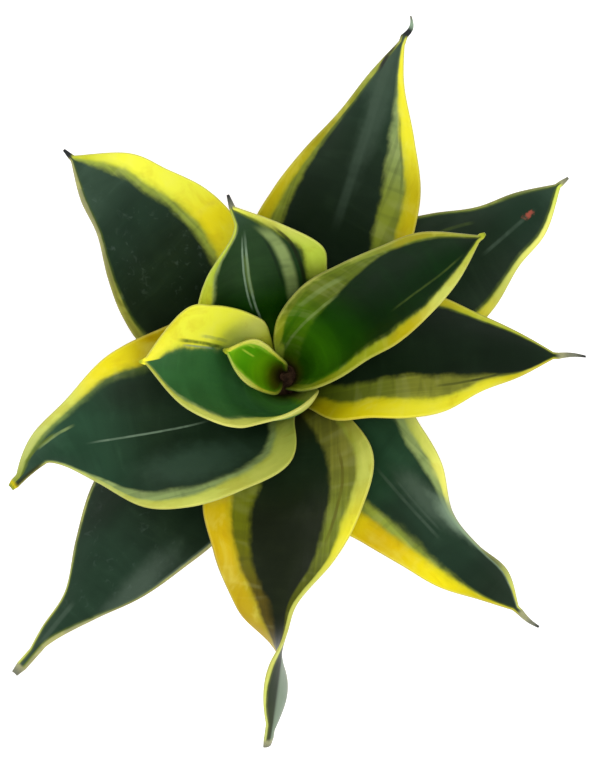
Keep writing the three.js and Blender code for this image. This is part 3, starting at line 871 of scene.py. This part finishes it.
def pot_material():
    g = Graph("terracotta")
    where = g.where()
    cloud = g.noise(where, (22, 22, 16), 4, 0.6)
    colour = g.veil("clay", "pale_clay", 1.0, cloud, 0.3, 0.7)
    bloom = g.noise(where, (38, 38, 60), 5, 0.7)
    colour = g.veil(colour, "clay_bloom", 0.45, bloom, 0.56, 0.80)
    damp = g.noise(where, (9, 9, 30), 3, 0.6)
    colour = g.veil(colour, "damp_clay", 0.30, damp, 0.52, 0.75)
    grit = g.noise(where, (900, 900, 900), 2)
    colour = g.veil(colour, "clay_grit", 0.35, grit, 0.62, 0.74)
    rings = g.noise(where, (3, 3, 520), 2, 0.6)
    height = g.add(g.times(rings, 0.6), g.times(grit, 0.4))
    rough = g.smooth(cloud, 0.3, 0.7, 0.72, 0.88)
    return g.finish(colour, rough, g.bump(height, 0.30, 0.0005), 0.3)


def soil_material():
    g = Graph("potting_soil")
    where = g.where()
    clods = g.noise(where, (300, 300, 300), 4, 0.7)
    colour = g.veil("loam", "pale_loam", 1.0, clods, 0.3, 0.7)
    grit = g.noise(where, (1500, 1500, 1500), 3, 0.7)
    colour = g.veil(colour, "sand", 0.5, grit, 0.6, 0.75)
    tint = g.attr("tint")
    colour = g.veil(colour, "perlite", 1.0, tint, 0.80, 0.84)
    colour = g.veil(colour, "bark_chip", 0.6, tint, 0.2, 0.0)
    height = g.add(clods, g.times(grit, 0.5))
    return g.finish(colour, 0.92, g.bump(height, 0.8, 0.0012), 0.25)


def rhizome_material():
    g = Graph("rhizome_bark")
    where = g.where()
    fibre = g.noise(where, (500, 500, 120), 4, 0.7)
    colour = g.veil("fibre", "pale_fibre", 1.0, fibre, 0.3, 0.7)
    rings = g.noise(where, (20, 20, 900), 2)
    colour = g.veil(colour, "ring", 0.5, rings, 0.55, 0.75)
    return g.finish(colour, 0.8, g.bump(fibre, 0.6, 0.0008), 0.25)


# ---- Pot, soil and rhizome: millimetres -----------------------------------------------------

POT = dict(base=31, shoulder=41, rim_bottom=44.5, rim_top=46, rim_height=18, height=88,
           wall=4.5, rim_wall=5.5, floor=5, drain=4, drain_circle=17)
POT_SIDES, POT_ROW = 144, 4  # points round the pot, and about how tall a row of its faces is
DRAINS, DRAIN_SIDES, DRAIN_CUT = 4, 32, (-5, 12)  # the last: the cutter's foot and top
SHARP = 40  # degrees: the pot's edges stay sharp above this

SOIL_TOP = 78
SOIL_SINK, SOIL_BUMPS = 0.8, 0.55  # how far its middle lies under SOIL_TOP, how uneven it is
SOIL_FALL, FALL_WIDTH, FALL_POWER = 2.0, 12, 1.3  # how it falls towards the wall
SOIL_GAP, SOIL_FOOT_GAP = 0.3, 3.2  # between the soil and the pot's wall, above and at the floor
SOIL_LIFT, SOIL_WAIST = 0.5, 60  # its foot above the pot's floor, and a ring halfway
SOIL_RINGS, SOIL_SIDES = 30, 120
FIRST_RING = 0.15  # the innermost ring's share of the radius
WAVES, WAVE_PITCH = 24, (0.5, 2.6)  # its bumps' waves, in radians per millimetre
BUMP_SEED, CRUMB_SEED = 11, 5
CRUMBS = 900
CRUMB_SIZES, CRUMB_SHARES = [0.5, 0.8, 1.3, 2.0], [0.4, 0.35, 0.18, 0.07]

RHIZOME = dict(radius=16.5, top=74, centre=(1, 0.7), foot=46, foot_radius=8, chamfer=1.5,
               shoulder=60, groove=0.35)
RHIZOME_SIDES, FOOT_ROWS, STEM_ROWS, GROOVE_EVERY = 96, 15, 28, 4
MOST_ROUNDED = 0.49  # share of a side that the rounding of a corner may take


def rounded(corners, steps=6):
    """The profile through these [radius, height] corners, each rounded off with its own radius."""
    out = []
    for i, (p, r) in enumerate(corners):
        p = np.array(p, float)
        if r <= 0 or i in (0, len(corners) - 1):
            out.append(p)
            continue
        a = np.array(corners[i - 1][0], float) - p
        b = np.array(corners[i + 1][0], float) - p
        a *= min(r, MOST_ROUNDED * np.linalg.norm(a)) / np.linalg.norm(a)
        b *= min(r, MOST_ROUNDED * np.linalg.norm(b)) / np.linalg.norm(b)
        for k in range(steps + 1):
            t = k / steps
            out.append(p + a * (1 - t) ** 2 + b * t**2)
    return out


def skin(rings, sides):
    """The faces round a stack of rings of points, closed by one point at each end."""
    faces = []
    last = 1 + rings * sides
    for k in range(sides):
        n = (k + 1) % sides
        faces.append((0, 1 + n, 1 + k))
        for a in range(1, last - sides, sides):
            faces.append((a + k, a + n, a + sides + n, a + sides + k))
        faces.append((last - sides + k, last - sides + n, last))
    return faces


def turned(name, profile, sides, material, centre=(0, 0)):
    """A solid of revolution from [radius, height] pairs that start and end on the axis."""
    ring = profile[1:-1]
    cx, cy = centre
    points = [(cx * MM, cy * MM, profile[0][1] * MM)]
    for r, z in ring:
        for k in range(sides):
            a = 2 * math.pi * k / sides
            points.append(((cx + r * math.cos(a)) * MM, (cy + r * math.sin(a)) * MM, z * MM))
    points.append((cx * MM, cy * MM, profile[-1][1] * MM))
    return new_object(name, points, skin(len(ring), sides), material)


def inner_radius(z):
    """The pot's inner radius at this height."""
    low, high = POT["base"] - POT["wall"], POT["rim_top"] - POT["rim_wall"]
    return low + (high - low) * (z - POT["floor"]) / (POT["height"] - POT["floor"])


def apply_modifiers(obj):
    bpy.context.view_layer.update()
    graph = bpy.context.evaluated_depsgraph_get()
    mesh = bpy.data.meshes.new_from_object(obj.evaluated_get(graph))
    obj.modifiers.clear()
    obj.data = mesh


def make_pot():
    height, floor, drain = POT["height"], POT["floor"], POT["drain"]
    shoulder = height - POT["rim_height"]
    profile = rounded([
        ([0, 0], 0), ([POT["base"], 0], 1.6), ([POT["shoulder"], shoulder], 0.8),
        ([POT["rim_bottom"], shoulder], 1.2), ([POT["rim_top"], height], 2.4),
        ([inner_radius(height), height], 2.4), ([inner_radius(floor), floor], 3.0),
        ([0, floor], 0),
    ])
    fine = [profile[0]]
    for a, b in zip(profile, profile[1:]):
        pieces = max(1, int(np.linalg.norm(b - a) / POT_ROW))
        fine += [a + (b - a) * k / pieces for k in range(1, pieces + 1)]
    clay = pot_material()
    pot = turned("pot_clay", fine, POT_SIDES, clay)
    low, high = DRAIN_CUT
    for k in range(DRAINS):
        a = (k + 0.5) * 2 * math.pi / DRAINS
        place = (POT["drain_circle"] * math.cos(a), POT["drain_circle"] * math.sin(a))
        hole = [[0, low], [drain, low], [drain, high], [0, high]]
        cutter = turned("cutter", hole, DRAIN_SIDES, clay, place)
        cut = pot.modifiers.new("drain", "BOOLEAN")
        cut.operation = "DIFFERENCE"
        cut.solver = "EXACT"
        cut.object = cutter
        apply_modifiers(pot)
        bpy.data.objects.remove(cutter)
    pot.data.polygons.foreach_set("use_smooth", [True] * len(pot.data.polygons))
    pot.data.set_sharp_from_angle(angle=math.radians(SHARP))
    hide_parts("pot")
    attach(pot, "root")


def hash_noise(x, y, seed):
    """A smooth value, mostly from -1 to 1, at each place, from seeded waves."""
    rng = np.random.default_rng(seed)
    out = np.zeros_like(x)
    for _ in range(WAVES):
        a = rng.uniform(0, 2 * math.pi)
        f = rng.uniform(*WAVE_PITCH)
        out += np.sin(f * (x * math.cos(a) + y * math.sin(a)) + rng.uniform(0, 2 * math.pi))
    return out / WAVES**0.5


def icosahedron():
    """Its twelve corners, one unit from the middle, and its faces."""
    golden = (1 + 5**0.5) / 2
    signs = [(a, b * golden) for a in (-1, 1) for b in (-1, 1)]
    points = np.array([(a, b, 0) for a, b in signs] + [(0, a, b) for a, b in signs]
                      + [(b, 0, a) for a, b in signs])
    neighbours = 2.1  # the edges are 2 long
    faces = []
    for i in range(12):
        for j in range(i + 1, 12):
            for k in range(j + 1, 12):
                p, q, r = points[i], points[j], points[k]
                if max(np.linalg.norm(d) for d in (p - q, q - r, p - r)) < neighbours:
                    outward = np.dot(np.cross(q - p, r - p), p + q + r) > 0
                    faces.append((i, j, k) if outward else (i, k, j))
    return points / np.linalg.norm(points[0]), faces


def make_soil():
    wall = inner_radius(SOIL_TOP - SOIL_FALL) - SOIL_GAP
    round_once = np.linspace(0, 2 * math.pi, SOIL_SIDES, endpoint=False)

    def surface(r):
        beyond = max(0.0, (r - (wall - FALL_WIDTH)) / FALL_WIDTH)
        return SOIL_TOP - SOIL_SINK - SOIL_FALL * beyond**FALL_POWER

    rows = []
    for i in range(SOIL_RINGS + 1):
        r = wall * (FIRST_RING + (1 - FIRST_RING) * i / SOIL_RINGS)
        x, y = r * np.cos(round_once), r * np.sin(round_once)
        rows.append(np.stack([x, y, surface(r) + SOIL_BUMPS * hash_noise(x, y, BUMP_SEED)], 1))
    foot = POT["floor"] + SOIL_LIFT
    for z, r in ((SOIL_WAIST, inner_radius(SOIL_WAIST) - SOIL_GAP),
                 (foot, inner_radius(POT["floor"]) - SOIL_FOOT_GAP)):
        x, y = r * np.cos(round_once), r * np.sin(round_once)
        rows.append(np.stack([x, y, np.full(SOIL_SIDES, z)], 1))
    points = [(0, 0, (SOIL_TOP - SOIL_SINK) * MM)] + (np.concatenate(rows) * MM).tolist()
    points.append((0, 0, foot * MM))
    # its rings go down, so its faces go the other way round
    faces = [(f[0], *f[:0:-1]) for f in skin(len(rows), SOIL_SIDES)]
    tint = [0.5] * len(points)

    # loose crumbs, bits of bark and pale grains of perlite: the tint says which
    rng = np.random.default_rng(CRUMB_SEED)
    ball, ball_faces = icosahedron()
    for _ in range(CRUMBS):
        r = wall * math.sqrt(rng.uniform(0.10, 0.97))
        a = rng.uniform(0, 2 * math.pi)
        size = rng.choice(CRUMB_SIZES, p=CRUMB_SHARES)
        shape = ball * size * rng.uniform(0.6, 1.15, 3) * rng.uniform(0.8, 1.2, (12, 1))
        turn = rng.uniform(0, 2 * math.pi)
        c, d = math.cos(turn), math.sin(turn)
        shape = shape @ np.array([[c, d, 0], [-d, c, 0], [0, 0, 1]])
        x, y = min(r, wall - size) * math.cos(a), min(r, wall - size) * math.sin(a)
        z = surface(r) + 0.25 * size
        start = len(points)
        points += ((shape + [x, y, z]) * MM).tolist()
        faces += [tuple(start + n for n in f) for f in ball_faces]
        tint += [rng.uniform(0, 1)] * 12
    soil = new_object("soil_surface", points, faces, soil_material())
    store(soil, "tint", tint)
    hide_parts("soil")
    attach(soil, "root")


def make_rhizome():
    """The short stem in the middle of the rosette, ringed where the leaves stand."""
    top, radius, shoulder = RHIZOME["top"], RHIZOME["radius"], RHIZOME["shoulder"]
    foot, foot_radius, chamfer = RHIZOME["foot"], RHIZOME["foot_radius"], RHIZOME["chamfer"]
    low = foot + chamfer
    profile = [[0, foot], [foot_radius - chamfer, foot], [foot_radius, low]]
    for k in range(1, FOOT_ROWS):
        z = low + (shoulder - low) * k / FOOT_ROWS
        profile.append([foot_radius + (radius - foot_radius) * k / FOOT_ROWS, z])
    for k in range(STEM_ROWS + 1):
        z = shoulder + (top - 1.2 - shoulder) * k / STEM_ROWS
        profile.append([radius - RHIZOME["groove"] * (k % GROOVE_EVERY == 0), z])
    # the top is slightly hollow
    profile += [[radius - 1.0, top - 0.3], [radius - 3, top], [9, top - 0.2], [4, top - 0.6],
                [0, top - 0.9]]
    crown = turned("rhizome_crown", profile, RHIZOME_SIDES, rhizome_material(), RHIZOME["centre"])
    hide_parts("rhizome")
    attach(crown, "root")


for seed, (name, form) in enumerate(FORM.items(), 1):
    look = LOOKS[name]
    blade = leaf_object(name + "_blade", form, look, leaf_material(name, look), seed)
    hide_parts(name)
    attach(blade, "root")
make_pot()
make_soil()
make_rhizome()

# ---- Floor, light and camera: metres --------------------------------------------------------

FLOOR_HALF, FLOOR_DROP = 6.0, 0.0002
FLOOR_GREY, FLOOR_GLOW = 0.86, 0.45
HORIZON, ZENITH = 0.86, 0.35  # the world's brightness, low and overhead
RISE = (0.02, 0.55)  # where it changes from the one to the other, as the sine of the height
WHITE = (1, 1, 1, 1)
AIM = (0, 0, 0.1)


def make_floor():
    g = Graph("pale_floor")
    g.shader.inputs["Emission Color"].default_value = WHITE
    g.shader.inputs["Emission Strength"].default_value = FLOOR_GLOW
    material = g.finish((FLOOR_GREY, FLOOR_GREY, FLOOR_GREY, 1), 0.9, None, 0.1)
    h = FLOOR_HALF
    corners = [(-h, -h, 0), (h, -h, 0), (h, h, 0), (-h, h, 0)]
    floor = new_object("floor", corners, [(0, 1, 2, 3)], material)
    floor.location.z = -FLOOR_DROP


def area_light(name, place, size, power, glossy=True):
    """A soft lamp aimed at the plant. Without gloss it lights the plant but isn't mirrored."""
    data = bpy.data.lights.new(name, "AREA")
    data.size = size
    data.energy = power
    light = bpy.data.objects.new(name, data)
    light.location = place
    light.rotation_euler = (Vector(AIM) - light.location).to_track_quat("-Z", "Y").to_euler()
    light.visible_glossy = glossy
    bpy.context.scene.collection.objects.link(light)


def make_world():
    """Pale near the horizon and dimmer overhead, like a studio with a dark ceiling."""
    world = bpy.data.worlds.new("studio")
    world.use_nodes = True
    tree = world.node_tree
    tree.nodes.clear()
    out = tree.nodes.new("ShaderNodeOutputWorld")
    back = tree.nodes.new("ShaderNodeBackground")
    where = tree.nodes.new("ShaderNodeTexCoord")
    split = tree.nodes.new("ShaderNodeSeparateXYZ")
    ramp = tree.nodes.new("ShaderNodeMapRange")
    ramp.interpolation_type = "SMOOTHSTEP"
    for socket, value in zip(ramp.inputs[1:5], (*RISE, HORIZON, ZENITH)):
        socket.default_value = value
    tree.links.new(where.outputs["Generated"], split.inputs[0])
    tree.links.new(split.outputs[2], ramp.inputs[0])
    tree.links.new(ramp.outputs[0], back.inputs[1])
    back.inputs[0].default_value = WHITE
    tree.links.new(back.outputs[0], out.inputs[0])
    bpy.context.scene.world = world


make_floor()
make_world()
area_light("overhead", (0.0, 0.0, 1.6), 0.6, 9.0, glossy=False)
area_light("key", (-0.75, 0.75, 0.95), 0.8, 3.5)
area_light("fill_right", (0.95, -0.55, 0.9), 0.9, 4.2)
area_light("fill_front", (-0.2, -1.1, 0.9), 0.9, 3.5)

CAMERA_PLACE = (0.0066, -0.0008, 0.800)  # straight over the plant, looking down
PIXELS_HIGH, FOCAL_PIXELS = 761, 2075.8  # of the photograph
SENSOR = 36  # millimetres
data = bpy.data.cameras.new("camera")
data.sensor_width = SENSOR
data.lens = FOCAL_PIXELS * SENSOR / PIXELS_HIGH
data.clip_start = 0.01
data.clip_end = 50
camera = bpy.data.objects.new("camera", data)
camera.location = CAMERA_PLACE
bpy.context.scene.collection.objects.link(camera)
bpy.context.scene.camera = camera
bpy.context.scene.view_settings.view_transform = "Standard"
